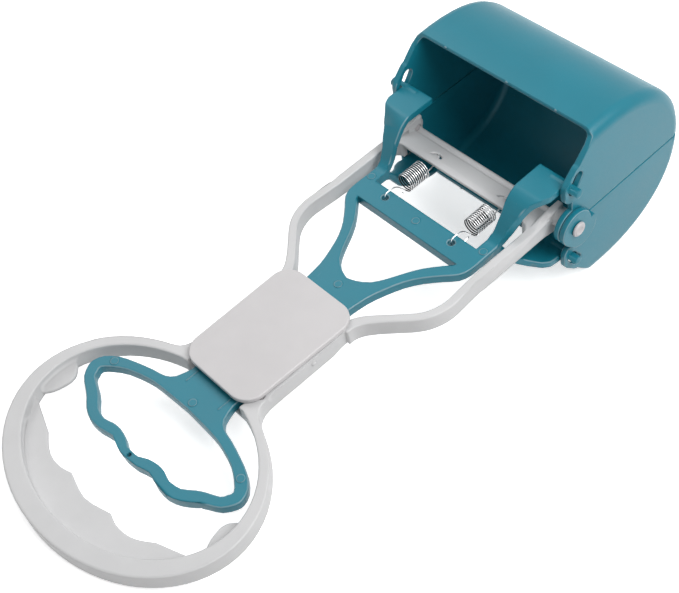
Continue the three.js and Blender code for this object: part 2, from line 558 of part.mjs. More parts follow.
function jaw() {
  const lug = disc(0, 0, LUG_RADIUS);
  const room = disc(0, 0, LUG_RADIUS + LUG_PLAY);
  const root = capsule([0, 0], [LUG_ROOT_Y, LUG_ROOT_Z], LUG_RADIUS);
  const upperHalf = sidePrism([[-JAW_HALF_LENGTH, GAP / 2], [JAW_HALF_LENGTH, GAP / 2],
    [JAW_HALF_LENGTH, JAW_HALF_HEIGHT], [-JAW_HALF_LENGTH, JAW_HALF_HEIGHT]], -PIN_HEAD_X, PIN_HEAD_X);
  const outerEnd = OUTER_LUG_X + LUG_THICKNESS;
  const rootX = JAW_HALF_WIDTH - JAW_SIDE_WALL / 2;
  const slotRadius = DRIVE_PIN_RADIUS + SLOT_PLAY;
  const ears = pinPathOutline(slotRadius + EAR_RIM, EAR_DROP, EAR_RISE).flatMap((ear) => [
    sidePrism(ear, JAW_WALL_INNER_X, JAW_HALF_WIDTH), sidePrism(ear, -JAW_HALF_WIDTH, -JAW_WALL_INNER_X)]);
  const innerLug = sidePrism(lug, JAW_WALL_INNER_X, JAW_HALF_WIDTH);
  const outerLug = sidePrism(lug, -outerEnd, -OUTER_LUG_X)
    .add(sidePrism(root, -outerEnd, -OUTER_LUG_X).intersect(upperHalf));
  const outerRoot = sidePrism(root, -OUTER_LUG_X - GAP, -rootX).intersect(upperHalf);
  const otherLug = sidePrism(room, -OUTER_LUG_X, -JAW_WALL_INNER_X + JAW_EDGE_ROUND);
  const body = joined([jawShell(), ...ears]).add(outerRoot).subtract(otherLug);
  const whole = joined([body, innerLug, outerLug]);
  const slots = pinPathOutline(slotRadius, 0, 0).map((slot) => sidePrism(slot, -PIN_HEAD_X, PIN_HEAD_X));
  const bore = sidePrism(disc(0, 0, PIN_RADIUS + PIN_BORE_PLAY), -PIN_HEAD_X, PIN_HEAD_X);
  return whole.subtract(joined([...slots, bore]));
}

// Hinge pin, turned about its own axis, with its head up and the head's seat at height zero
function hingePin() {
  const length = PIN_HEAD_X - PLATE_INNER_X - GAP;
  const profile = [new THREE.Vector2(0, -length), new THREE.Vector2(PIN_RADIUS, -length),
    new THREE.Vector2(PIN_RADIUS, 0), new THREE.Vector2(PIN_HEAD_RADIUS, 0)];
  for (let i = 0; i <= TURN_STEPS / 2; i += 1) {
    const angle = (Math.PI * i) / TURN_STEPS;
    profile.push(new THREE.Vector2(PIN_HEAD_RADIUS * Math.cos(angle),
      PIN_HEAD_HEIGHT * (1 + 2 * Math.sin(angle)) / 3));
  }
  profile[profile.length - 1].x = 0;
  return toGeometry(toSolid(new THREE.LatheGeometry(profile, ROUND_STEPS)));
}

// Spring, along +Y from the rear end of its coil: rear hook, coil and front hook as one wire
function springPath() {
  const rearReach = COIL_REAR_Y - HOOK_HOLE_Y;
  const frontReach = SLIT_CENTRE_Y + SLIT_RADIUS - COIL_FRONT_Y;
  const length = COIL_TURNS * COIL_PITCH;
  const rear = REAR_HOOK_SHARES.map(
    ([along, up]) => new THREE.Vector3(0, along * rearReach, up * COIL_RADIUS));
  const coil = Array.from({ length: COIL_TURNS * TURN_STEPS + 1 }, (_, i) => {
    const angle = (2 * Math.PI * i) / TURN_STEPS - Math.PI / 2;
    return new THREE.Vector3(COIL_RADIUS * Math.cos(angle), (COIL_PITCH * i) / TURN_STEPS,
      COIL_RADIUS * Math.sin(angle));
  });
  const front = FRONT_HOOK_SHARES.map(
    ([along, up]) => new THREE.Vector3(0, length + along * frontReach, up * COIL_RADIUS));
  return [...rear, ...coil, ...front];
}

function leastGap(path) {
  let least = Infinity;
  for (let i = 0; i < path.length; i += 1) {
    for (let j = i + TURN_STEPS / 2; j < path.length; j += 1) {
      least = Math.min(least, path[i].distanceTo(path[j]));
    }
  }
  return least - 2 * WIRE_RADIUS;
}

function wireTube(path) {
  const positions = [];
  const indices = [];
  const normal = new THREE.Vector3(1, 0, 0);
  path.forEach((point, i) => {
    const before = path[Math.max(i - 1, 0)];
    const after = path[Math.min(i + 1, path.length - 1)];
    const along = after.clone().sub(before).normalize();
    normal.addScaledVector(along, -normal.dot(along)).normalize();
    const binormal = new THREE.Vector3().crossVectors(along, normal);
    for (let side = 0; side < WIRE_SIDES; side += 1) {
      const angle = (2 * Math.PI * side) / WIRE_SIDES;
      const corner = point.clone().addScaledVector(normal, WIRE_RADIUS * Math.cos(angle))
        .addScaledVector(binormal, WIRE_RADIUS * Math.sin(angle));
      positions.push(corner.x, corner.y, corner.z);
    }
  });
  const ring = (i, side) => i * WIRE_SIDES + (side % WIRE_SIDES);
  for (let i = 0; i < path.length - 1; i += 1) {
    for (let side = 0; side < WIRE_SIDES; side += 1) {
      indices.push(ring(i, side), ring(i, side + 1), ring(i + 1, side + 1));
      indices.push(ring(i, side), ring(i + 1, side + 1), ring(i + 1, side));
    }
  }
  const last = path.length - 1;
  for (let side = 1; side < WIRE_SIDES - 1; side += 1) {
    indices.push(ring(0, 0), ring(0, side + 1), ring(0, side));
    indices.push(ring(last, 0), ring(last, side), ring(last, side + 1));
  }
  const geometry = new THREE.BufferGeometry();
  geometry.setAttribute("position", new THREE.BufferAttribute(new Float32Array(positions), 3));
  geometry.setIndex(indices);
  return geometry;
}

// The lean that sets the ring's rear edge and the lower jaw's belly on one level
function restingLean() {
  const rearY = RING_CENTRE_Y - RING_HALF_LENGTH;
  const slopes = jawProfile(0).map(([y, z]) => Math.atan2(z + FRAME_HALF_THICKNESS, y - rearY));
  return -Math.min(...slopes);
}

// Materials
const teal = new THREE.MeshStandardMaterial({ color: 0x2f7f93, roughness: 0.42, metalness: 0 });
const grey = new THREE.MeshStandardMaterial({ color: 0xd2d2d3, roughness: 0.5, metalness: 0 });
const warmGrey = new THREE.MeshStandardMaterial({ color: 0xd4d2d2, roughness: 0.55, metalness: 0 });
const pinGrey = new THREE.MeshStandardMaterial({ color: 0xcfc8c8, roughness: 0.45, metalness: 0 });
const steel = new THREE.MeshStandardMaterial({ color: 0xb4b6b6, roughness: 0.22, metalness: 1 });

function named(name, geometry, material) {
  const mesh = new THREE.Mesh(geometry, material);
  mesh.name = name;
  return mesh;
}

// The tool: every piece in the tool's own frame, then leaned onto the ground
const tool = new THREE.Group();
tool.add(named("handle_frame", toGeometry(handleFrame()), grey));
tool.add(named("cover_plate", toGeometry(coverPlate()), warmGrey));
tool.add(named("trigger", toGeometry(trigger()), teal));

const jawGeometry = toGeometry(jaw());
tool.add(named("upper_jaw", jawGeometry, teal));
const lowerJaw = named("lower_jaw", jawGeometry, teal);
lowerJaw.rotation.y = Math.PI;
tool.add(lowerJaw);

const path = springPath();
const springGeometry = wireTube(path);
console.log(`least gap of a spring to itself: ${leastGap(path).toFixed(3)} mm`);
for (const [name, side] of [["spring_left", -1], ["spring_right", 1]]) {
  const spring = named(name, springGeometry, steel);
  spring.position.set(side * SPRING_X, COIL_REAR_Y, SPRING_Z);
  tool.add(spring);
}

const pinGeometry = hingePin();
for (const [name, side] of [["hinge_pin_left", -1], ["hinge_pin_right", 1]]) {
  const pin = named(name, pinGeometry, pinGrey);
  pin.position.x = side * PIN_HEAD_X;
  pin.rotation.z = (-side * Math.PI) / 2;
  tool.add(pin);
}

tool.rotation.x = restingLean();
const scooper = new THREE.Group();
scooper.add(tool);
const box = new THREE.Box3().setFromObject(scooper, true);
tool.position.set(0, -(box.min.y + box.max.y) / 2, -box.min.z);

export default scooper;
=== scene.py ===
"""Dresses the pooper scooper's CAD model: rounded mouldings, wound springs, plastics and stage."""
import json
import math

import bmesh
import bpy
from bpy.props import FloatProperty, FloatVectorProperty, IntProperty, PointerProperty
from mathutils import Matrix, Vector
from mathutils.geometry import intersect_line_line_2d, intersect_point_line
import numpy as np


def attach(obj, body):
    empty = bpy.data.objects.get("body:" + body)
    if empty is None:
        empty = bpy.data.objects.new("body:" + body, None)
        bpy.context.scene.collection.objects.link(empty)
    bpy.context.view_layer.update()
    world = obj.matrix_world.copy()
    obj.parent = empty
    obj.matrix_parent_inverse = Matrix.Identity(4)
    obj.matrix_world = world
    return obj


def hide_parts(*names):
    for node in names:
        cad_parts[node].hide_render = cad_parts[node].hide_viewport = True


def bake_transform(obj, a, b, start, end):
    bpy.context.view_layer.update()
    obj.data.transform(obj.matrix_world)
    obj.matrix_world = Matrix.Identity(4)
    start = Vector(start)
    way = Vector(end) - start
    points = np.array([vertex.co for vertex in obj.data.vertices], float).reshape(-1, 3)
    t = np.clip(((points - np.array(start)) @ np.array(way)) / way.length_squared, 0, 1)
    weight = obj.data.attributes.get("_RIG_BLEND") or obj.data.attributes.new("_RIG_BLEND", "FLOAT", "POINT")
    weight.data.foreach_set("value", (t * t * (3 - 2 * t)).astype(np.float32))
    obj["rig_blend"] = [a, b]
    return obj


bl_info = {
    "name": "Pooper Scooper",
    "version": (1, 0, 0),
    "blender": (4, 5, 0),
    "location": "View3D > Sidebar > Scooper",
    "description": "Builds the looks of a pooper scooper on its CAD frame",
    "category": "Object",
}

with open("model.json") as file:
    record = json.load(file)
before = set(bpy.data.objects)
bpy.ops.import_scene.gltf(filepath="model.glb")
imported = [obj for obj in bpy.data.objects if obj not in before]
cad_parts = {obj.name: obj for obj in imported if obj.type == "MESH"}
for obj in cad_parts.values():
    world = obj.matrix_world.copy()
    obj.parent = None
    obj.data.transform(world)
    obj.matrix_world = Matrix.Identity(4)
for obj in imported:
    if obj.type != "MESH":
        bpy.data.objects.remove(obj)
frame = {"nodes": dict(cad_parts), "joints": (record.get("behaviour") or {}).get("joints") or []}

MM = 0.001
SIDES = (-1, 1)


def joint(name):
    """The record's joint of that name."""
    return next(item for item in frame["joints"] if item["name"] == name)


# The tool's own frame: origin in the middle of the jaws' hinge axis, X across, Y to the nose, Z up
HINGE = Vector(joint("upper_jaw_hinge")["pos_m"])
SLIDE = Vector(joint("trigger_slide")["axis"])
LEAN = math.atan2(-SLIDE.z, -SLIDE.y)
TOOL = Matrix.Translation(HINGE) @ Matrix.Rotation(LEAN, 4, "X")

# Camera of the photograph: its target, angles and offset are in the tool's own frame
CAMERA_TARGET = Vector((0, -0.07125, 0))
CAMERA_AZIMUTH = math.radians(56.5804)
CAMERA_ELEVATION = math.radians(50.8813)
CAMERA_ROLL = math.radians(-12.2637)
CAMERA_OFFSET = Vector((-0.0079328, -0.0101821, 0.4983215))
CAMERA_LENS = 67.122
CAMERA_CLIP_START = 0.01

# Lamps: name, place, width and power
LAMPS = (
    ("Key", (0.45, 0.07, 0.65), 0.6, 5.1),
    ("Fill", (-0.6, 0.05, 0.7), 0.7, 2.4),
)

# Room: the light it gives, as a share of how bright it looks
ROOM_LIGHT = 0.37

# Floor: its size and how far it lies under the tool, and the tone of what it throws back
FLOOR_SIZE = 3
FLOOR_DROP = 0.4 * MM
FLOOR_BOUNCE = 0.68
FLOOR_ROUGHNESS = 0.9

# Floor: distances between which it turns from shadowed to plain white, and its own light there
FLOOR_FADE_START = 0.3
FLOOR_FADE_END = 0.9
FLOOR_LIFT_NEAR = (0.6, 0.6, 0.6)
FLOOR_LIFT_FAR = (0.9, 0.9, 0.9)

# Cover plate, with the rails and pegs under it, in the tool's own frame
COVER_TOP = 6.6 * MM
COVER_THICKNESS = 2.3 * MM
COVER_REAR = -146 * MM
COVER_FRONT = -89.9 * MM
COVER_REAR_HALF_WIDTH = 19.5 * MM
COVER_FRONT_HALF_WIDTH = 20.3 * MM
CORNER_SEGMENTS = 12
COVER_ROUND_OVER = math.radians(60)
COVER_ROUND_SEGMENTS = 4
GUIDE_REAR = -138 * MM
GUIDE_FRONT = -106 * MM
RAIL_X = 8.5 * MM
RAIL_WIDTH = 2 * MM
RAIL_BOTTOM = 2.5 * MM
RAIL_HEIGHT = 2.6 * MM
PEG_X = 18.25 * MM
PEG_RADIUS = 0.9 * MM
PEG_LENGTH = 5.6 * MM

# Handle frame: gate mark on the shank's right side
GATE_PLACE = tuple(part * MM for part in (20.5, -114.1, 1.6))
GATE_RADIUS = 1.1 * MM
GATE_FLATTENING = (0.5, 1, 0.8)

# Trigger: ejector marks on the blade
TRIGGER_TOP = 2.2 * MM
TRIGGER_MARKS = tuple((across * MM, along * MM) for across, along in (
    (0, -39.6), (-31.6, -34), (31.6, -34), (0, -82.5), (-38, -165), (38, -165), (0, -156.5)))
MARK_RADIUS = 1.7 * MM
MARK_RIM = 0.25 * MARK_RADIUS
MARK_HOLLOW = 0.8

# Trigger: witness lines behind the cover
WITNESS_X = 9.6 * MM
WITNESS_Y = -149 * MM
WITNESS_WIDTH = 0.4 * MM
WITNESS_LENGTH = 6 * MM

# Jaws: nubs along the upper jaw's lip; the lower jaw is the same moulding turned half round
NUB_PLACES = tuple((across * MM, 12.45 * MM, 40.9 * MM) for across in (-30, 3, 28))
NUB_RADIUS = 0.55 * MM
NUB_FLATTENING = (1.2, 0.6, 0.9)

# Springs: the coil, and the steps of each turn, of each step's curve and of the wire's outline
SPRING_X = 18.7 * MM
SPRING_Z = 1.2 * MM
COIL_REAR = -27.6 * MM
COIL_FRONT = -16.5 * MM
COIL_RADIUS = 3.85 * MM
TURN_STEPS = 8
CURVE_STEPS = 4
WIRE_OUTLINE_STEPS = 3

# Springs: how far the hooks reach, and their points as shares of that and of the coil's radius
REAR_HOOK_REACH = 11.05 * MM
FRONT_HOOK_REACH = 9.3 * MM
REAR_HOOK_SHARES = (
    (-0.12, -1.1), (-0.36, -1.28), (-0.71, -1.38), (-0.93, -1.22), (-1, -0.8), (-1.01, -0.2),
    (-1, 0.3), (-0.93, 0.6), (-0.76, 0.69), (-0.6, 0.66), (-0.45, 0.51))
FRONT_HOOK_SHARES = (
    (0.25, -0.92), (0.7, -0.62), (0.92, -0.44), (0.99, -0.2), (1, 0.1), (1, 0.41))

# Hinge pins: places along and out from the axis, from the head's seat outward, head first
PIN_HEAD_X = 50.3 * MM
PIN_PROFILE = tuple((along * MM, out * MM) for along, out in (
    (1.15, 0), (1.15, 1.5), (1.4, 1.75), (1.4, 2.3), (1.1, 3), (0.55, 3.3), (0, 3.3), (0, 1.5),
    (-12, 1.5), (-12, 0)))
PIN_STEPS = 40
PIN_ROUND_SEGMENTS = 3


# ---- Shaders -------------------------------------------------------------------------------------

# Sockets of the Mix node for colours
MIX_FACTOR, MIX_FIRST, MIX_SECOND, MIX_RESULT = 0, 6, 7, 2

# Noises: cells a metre, detail and roughness
CLOUDS = (38, 3, 0.55)
SPECKS = (900, 3, 0.6)
GRIT = (3600, 2, 0.6)
SCUFFS = (820, 4, 0.7)
WEAR_AND_HIGHLIGHT_NOISE = (160, 3, 0.6)
DULL_SPOTS = (420, 3, 0.6)
DIE_LINES = (2600, 2, 0.6)

# Moulded plastic: noise values between which each mark begins to show
CLOUD_STEP = (0.3, 0.72)
SPECK_STEP = (0.62, 0.8)
SCUFF_STEP = (0.66, 0.74)
SCUFFED_STEP = (0.42, 0.62)
SCUFF_STRETCH = (1, 0.16, 1)

# Moulded plastic: tones of its marks, and how much of each shows
CLOUD_TONES = (0.965, 1.03)
SPECK_TONE = 0.88
SPECK_SHARE = 0.3
# The pale tone serves wear, scratches and the painted highlight on rubbed edges
PALE_TONE = 0.8
PALE_SHARE = 0.42
WEAR_AND_HIGHLIGHT_LEAST = 0.45
WEAR_AND_HIGHLIGHT_SPREAD = 0.7
WEAR_AND_HIGHLIGHT_SHARE = 0.55
SCRATCH_SHARE = 0.22

# Moulded plastic: what its marks change in roughness and relief
CLOUD_ROUGHNESS = 0.12
SPECK_ROUGHNESS = 0.1
SCRATCH_ROUGHNESS = 0.14
WEAR_POLISH = 0.06
CLOUD_RELIEF = 0.12
CLOUD_DEPTH = 0.0006
SPECK_HEIGHT = 0.8
GRIT_DEPTH = 0.00006
EDGE_SAMPLES = 6

# Spring wire
WIRE_TONES = (1.05, 0.72)
DULL_STEP = (0.4, 0.7)
DIE_LINE_STRETCH = (1, 4, 1)
WIRE_ROUGHNESS = 0.16
DULL_ROUGHNESS = 0.14
LINE_ROUGHNESS = 0.08
LINE_RELIEF = 0.25
LINE_DEPTH = 0.00003

# Painted shade between a coil's turns, nearly black: how it fades at the coil's ends and toward the wire's
# outside
COIL_GAP_SHADE = (0.012, 0.013, 0.014)
COIL_GAP_SHADE_END_FADE = 0.4 * MM
COIL_GAP_SHADE_RADII = (COIL_RADIUS + 0.1 * MM, COIL_RADIUS + 0.25 * MM)


class Maths:
    """A socket that carries a number, with Python's arithmetic."""

    def __init__(self, shader, socket):
        self.shader = shader
        self.socket = socket

    def __add__(self, other):
        return self.shader.maths("ADD", self, other)

    def __radd__(self, other):
        return self.shader.maths("ADD", other, self)

    def __sub__(self, other):
        return self.shader.maths("SUBTRACT", self, other)

    def __rsub__(self, other):
        return self.shader.maths("SUBTRACT", other, self)

    def __mul__(self, other):
        return self.shader.maths("MULTIPLY", self, other)

    def __rmul__(self, other):
        return self.shader.maths("MULTIPLY", other, self)

    def __pow__(self, other):
        return self.shader.maths("POWER", self, other)

    def smooth(self, low, high):
        """0 below low, 1 above high and a smooth step between."""
        node = self.shader.node("ShaderNodeMapRange", {"interpolation_type": "SMOOTHSTEP"},
                                {"Value": self, "From Min": low, "From Max": high})
        return Maths(self.shader, node.outputs["Result"])


class Shader:
    """One material or world under construction."""

    def __init__(self, owner):
        self.owner = owner
        owner.use_nodes = True
        self.tree = owner.node_tree
        self.tree.nodes.clear()

    def node(self, kind, settings=None, sockets=None):
        """A node of that type: its settings first, then the values or links of its sockets."""
        node = self.tree.nodes.new(kind)
        for key, value in (settings or {}).items():
            setattr(node, key, value)
        for key, value in (sockets or {}).items():
            socket = node.inputs[key]
            if isinstance(value, Maths):
                self.tree.links.new(value.socket, socket)
            elif isinstance(value, bpy.types.NodeSocket):
                self.tree.links.new(value, socket)
            elif socket.type == "RGBA" and len(value) == 3:
                socket.default_value = (*value, 1)
            else:
                socket.default_value = value
        return node

    def maths(self, operation, *values):
        """A Math node on values or sockets."""
        node = self.node("ShaderNodeMath", {"operation": operation}, dict(enumerate(values)))
        return Maths(self, node.outputs["Value"])

    def tool_place(self):
        """Object coordinates, turned and moved into the tool's own frame."""
        coordinates = self.node("ShaderNodeTexCoord")
        mapping = self.node("ShaderNodeMapping", {"vector_type": "TEXTURE"},
                            {"Vector": coordinates.outputs["Object"], "Location": HINGE,
                             "Rotation": (LEAN, 0, 0)})
        return mapping.outputs["Vector"]

    def stretched(self, place, scale):
        """A place stretched by a factor along each axis."""
        node = self.node("ShaderNodeVectorMath", {"operation": "MULTIPLY"}, {0: place, 1: scale})
        return node.outputs["Vector"]

    def noise(self, place, scale, detail, roughness):
        """Noise at that many cells a metre."""
        node = self.node("ShaderNodeTexNoise", None, {"Vector": place, "Scale": scale,
                                                      "Detail": detail, "Roughness": roughness})
        return Maths(self, node.outputs["Fac"])

    def attribute(self, name):
        """A number kept on the mesh."""
        node = self.node("ShaderNodeAttribute", {"attribute_name": name})
        return Maths(self, node.outputs["Fac"])

    def mix(self, factor, first, second):
        """A colour between two colours."""
        node = self.node("ShaderNodeMix", {"data_type": "RGBA"},
                         {MIX_FACTOR: factor, MIX_FIRST: first, MIX_SECOND: second})
        return node.outputs[MIX_RESULT]

    def bump(self, height, strength, distance, normal=None):
        """A normal pushed by a height."""
        sockets = {"Height": height, "Strength": strength, "Distance": distance}
        if normal:
            sockets["Normal"] = normal
        return self.node("ShaderNodeBump", None, sockets).outputs["Normal"]

    def principled(self, sockets):
        """Ends the material with a Principled shader."""
        shader = self.node("ShaderNodeBsdfPrincipled", None, sockets)
        self.node("ShaderNodeOutputMaterial", None, {"Surface": shader.outputs["BSDF"]})
        return self.owner


def tinted(colour, factor):
    """A colour made lighter or darker."""
    return tuple(min(1, part * factor) for part in colour[:3])


# The number on a mesh's points that says how rubbed they are, which also paints them paler as a highlight
EDGE_WEAR_AND_HIGHLIGHT = "edge"


def moulded_plastic(name, colour, roughness, grain, softness, gloss):
    """Injection-moulded plastic: fine grain, faint flow clouds, rubbed edges painted paler as a highlight,
    and small scuffs.
    """
    shader = Shader(bpy.data.materials.new(name))
    place = shader.tool_place()
    cloud = shader.noise(place, *CLOUDS)
    speck = shader.noise(place, *SPECKS)
    grit = shader.noise(place, *GRIT)
    scuffs = shader.noise(shader.stretched(place, SCUFF_STRETCH), *SCUFFS)
    wear_and_highlight_mark = shader.attribute(EDGE_WEAR_AND_HIGHLIGHT)
    worn_and_highlit = wear_and_highlight_mark * (shader.noise(place, *WEAR_AND_HIGHLIGHT_NOISE) * WEAR_AND_HIGHLIGHT_SPREAD + WEAR_AND_HIGHLIGHT_LEAST)
    scratch = scuffs.smooth(*SCUFF_STEP) * cloud.smooth(*SCUFFED_STEP)

    darker, lighter = (tinted(colour, tone) for tone in CLOUD_TONES)
    pale_wear_and_highlight = tuple(part + (PALE_TONE - part) * PALE_SHARE for part in colour[:3])
    base = shader.mix(cloud.smooth(*CLOUD_STEP), darker, lighter)
    base = shader.mix(speck.smooth(*SPECK_STEP) * SPECK_SHARE, base, tinted(colour, SPECK_TONE))
    # rubbed edges and marks: paler for wear and as a painted highlight
    base = shader.mix(worn_and_highlit * WEAR_AND_HIGHLIGHT_SHARE, base, pale_wear_and_highlight)
    base = shader.mix(scratch * SCRATCH_SHARE, base, pale_wear_and_highlight)

    rough = (roughness + (cloud - 0.5) * CLOUD_ROUGHNESS + (speck - 0.5) * SPECK_ROUGHNESS
             + scratch * SCRATCH_ROUGHNESS - worn_and_highlit * WEAR_POLISH)
    soft = shader.node("ShaderNodeBevel", {"samples": EDGE_SAMPLES}, {"Radius": softness})
    normal = shader.bump(grit + speck * SPECK_HEIGHT, grain, GRIT_DEPTH, soft.outputs["Normal"])
    normal = shader.bump(cloud, CLOUD_RELIEF, CLOUD_DEPTH, normal)
    return shader.principled({"Base Color": base, "Roughness": rough, "Normal": normal,
                              "Specular IOR Level": gloss})


def spring_wire(name, colour):
    """Drawn steel wire, with die lines along it, dull spots, and painted shade between the turns."""
    shader = Shader(bpy.data.materials.new(name))
    place = shader.tool_place()
    dull = shader.noise(place, *DULL_SPOTS)
    lines = shader.noise(shader.stretched(place, DIE_LINE_STRETCH), *DIE_LINES)
    bright, dark = (tinted(colour, tone) for tone in WIRE_TONES)
    base = shader.mix(dull.smooth(*DULL_STEP), bright, dark)

    axes = shader.node("ShaderNodeSeparateXYZ", None, {"Vector": place})
    across = shader.maths("ABSOLUTE", axes.outputs["X"]) - SPRING_X
    along = Maths(shader, axes.outputs["Y"])
    up = Maths(shader, axes.outputs["Z"]) - SPRING_Z
    outward = (across * across + up * up) ** 0.5
    past_rear = along.smooth(COIL_REAR - COIL_GAP_SHADE_END_FADE, COIL_REAR)
    past_front = along.smooth(COIL_FRONT, COIL_FRONT + COIL_GAP_SHADE_END_FADE)
    # painted shade: the wire turns dark near the coil's axis, where its turns shade each other, and not past
    # the coil's ends
    base = shader.mix(past_rear * (1 - past_front) * (1 - outward.smooth(*COIL_GAP_SHADE_RADII)), base, COIL_GAP_SHADE)

    rough = WIRE_ROUGHNESS + dull * DULL_ROUGHNESS + lines * LINE_ROUGHNESS
    normal = shader.bump(lines, LINE_RELIEF, LINE_DEPTH)
    return shader.principled({"Base Color": base, "Roughness": rough, "Normal": normal,
                              "Metallic": 1.0})


def seen_directly(shader):
    """1 for the camera and for what shows in gloss or glass."""
    path = shader.node("ShaderNodeLightPath")
    seen = shader.maths("MAXIMUM", path.outputs["Is Camera Ray"], path.outputs["Is Glossy Ray"])
    return shader.maths("MAXIMUM", seen, path.outputs["Is Transmission Ray"])


def studio_world(name):
    """A white room that looks brighter than the light it gives."""
    shader = Shader(bpy.data.worlds.new(name))
    strength = ROOM_LIGHT + (1 - ROOM_LIGHT) * seen_directly(shader)
    background = shader.node("ShaderNodeBackground", None,
                             {"Color": (1, 1, 1), "Strength": strength})
    shader.node("ShaderNodeOutputWorld", None, {"Surface": background.outputs["Background"]})
    return shader.owner


def studio_floor(name, colour):
    """A pale floor that looks white and keeps the object's shadow."""
    shader = Shader(bpy.data.materials.new(name))
    seen = seen_directly(shader)
    base = shader.mix(seen, tinted(colour, FLOOR_BOUNCE), colour)
    coordinates = shader.node("ShaderNodeTexCoord")
    away = shader.node("ShaderNodeVectorMath", {"operation": "LENGTH"},
                       {0: coordinates.outputs["Object"]})
    far = Maths(shader, away.outputs["Value"]).smooth(FLOOR_FADE_START, FLOOR_FADE_END)
    lift = shader.mix(far, FLOOR_LIFT_NEAR, FLOOR_LIFT_FAR)
    lift = shader.mix(seen, (0, 0, 0), lift)
    return shader.principled({"Base Color": base, "Roughness": FLOOR_ROUGHNESS,
                              "Specular IOR Level": 0.0, "Emission Color": lift,
                              "Emission Strength": 1.0})


# ---- Meshes --------------------------------------------------------------------------------------

# Angles: edges over the first are rounded, faces under the second make one flat, rounds over the
# third have folded over, and under the last the shading runs on
ROUND_OVER = math.radians(38)
FLAT_UNDER = math.radians(0.6)
FOLD_OVER = math.radians(120)
SMOOTH_UNDER = math.radians(50)

# Distances within which points are merged: in the CAD meshes, on their slivers and in built meshes
CAD_MERGE = 0.06 * MM
CAD_SLIVER = 0.05 * MM
SEAM_MERGE = 0.001 * MM

# Edges fit for a round: least length, most other sharp edges at an end, and the radii that their
# faces reach
SHORTEST_ROUND = 0.3 * MM
MOST_SHARP_NEIGHBOURS = 2
LEAST_REACH = 2.1

# Trials of the rounds: the radii kept from a spoilt place, and how many trials
SPOILT_REACH = 1.6
ROUND_TRIES = 5

# Faces with more corners than this can cross themselves in a round
PLAIN_CORNERS = 4

# Small marks: how fine a post and a ball are, how upright the normal of a top face is, and the
# share of a faint rub with its painted highlight
POST_SEGMENTS = 24
BALL_SUBDIVISIONS = 2
UPWARD = 0.9
FAINT = 0.5


def add_object(name, bm, material):
    """Puts a bmesh into the scene as an object with one material."""
    mesh = bpy.data.meshes.new(name)
    bm.to_mesh(mesh)
    bm.free()
    mesh.materials.append(material)
    added = bpy.data.objects.new(name, mesh)
    bpy.context.scene.collection.objects.link(added)
    return added


def add_piece(name, bm, body, slot, node):
    """Adds a finished piece from a bmesh, which rides on a body and stands for its CAD node."""
    piece = add_object(name, bm, finish(slot))
    for polygon in piece.data.polygons:
        polygon.use_smooth = True
    piece.data.set_sharp_from_angle(angle=SMOOTH_UNDER)
    weighted = piece.modifiers.new("Even shading", "WEIGHTED_NORMAL")
    weighted.mode = "FACE_AREA_WITH_ANGLE"
    weighted.keep_sharp = True
    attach(piece, body)
    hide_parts(node)


def sharp_edges(bm, least=ROUND_OVER):
    """Outer edges where two faces meet at more than that angle."""
    return [edge for edge in bm.edges
            if edge.is_manifold and edge.is_convex and edge.calc_face_angle(0) > least]


def reach(edge, face):
    """How far a face reaches from an edge."""
    first, second = (vert.co for vert in edge.verts)
    return max((vert.co - intersect_point_line(vert.co, first, second)[0]).length
               for vert in face.verts)


def roomy(edge, radius):
    """Whether an edge is long enough for a round, lies between wide faces and meets few others."""
    others = [[other for other in vert.link_edges if other != edge and other.is_manifold
               and other.calc_face_angle(0) > ROUND_OVER] for vert in edge.verts]
    return (edge.calc_length() > SHORTEST_ROUND
            and all(len(sharp) <= MOST_SHARP_NEIGHBOURS for sharp in others)
            and all(reach(edge, face) > LEAST_REACH * radius for face in edge.link_faces))


def crossings(face):
    """Places where a face's outline crosses itself."""
    turn = face.normal.to_track_quat("Z", "Y").to_matrix().inverted()
    flat = [(turn @ vert.co).to_2d() for vert in face.verts]
    sides = list(zip(flat, flat[1:] + flat[:1]))
    places = []
    for first in range(len(sides)):
        for second in range(first + 2, len(sides) - (first == 0)):
            if intersect_line_line_2d(*sides[first], *sides[second]):
                places += [face.verts[first].co.copy(), face.verts[second].co.copy()]
    return places


def spoilt_places(bm):
    """Places where faces cross themselves or fold over."""
    bm.normal_update()
    places = [place for face in bm.faces if len(face.verts) > PLAIN_CORNERS
              for place in crossings(face)]
    folds = [edge for edge in bm.edges
             if edge.is_manifold and edge.calc_face_angle(0) > FOLD_OVER]
    return places + [vert.co.copy() for edge in folds for vert in edge.verts]


def near_any(edge, places, distance):
    """Whether an edge comes near any of the places."""
    first, second = (vert.co for vert in edge.verts)
    for place in places:
        foot, share = intersect_point_line(place, first, second)
        if share < 0 or share > 1:
            foot = first if share < 0 else second
        if (foot - place).length < distance:
            return True
    return False


def bevel(bm, edges, radius, segments):
    """Rounds those edges."""
    return bmesh.ops.bevel(bm, geom=edges, offset=radius, offset_type="OFFSET", affect="EDGES",
                           segments=segments, profile=0.5, clamp_overlap=False, material=-1)


def clear_edges(bm, edges, radius, segments):
    """Those of the edges whose rounds stay clear of each other, found by trial."""
    edges = [edge for edge in edges if roomy(edge, radius)]
    for _ in range(ROUND_TRIES):
        bm.edges.index_update()
        trial = bm.copy()
        trial.edges.ensure_lookup_table()
        bevel(trial, [trial.edges[edge.index] for edge in edges], radius, segments)
        places = spoilt_places(trial)
        trial.free()
        clear = [edge for edge in edges if not near_any(edge, places, SPOILT_REACH * radius)]
        if len(clear) == len(edges):
            break
        edges = clear
    return edges


def mark_wear_and_highlight(bm, verts, share=1.0):
    """Marks points as rubbed and painted paler as a highlight, by a share."""
    mark = bm.verts.layers.float[EDGE_WEAR_AND_HIGHLIGHT]
    for vert in verts:
        vert[mark] = share


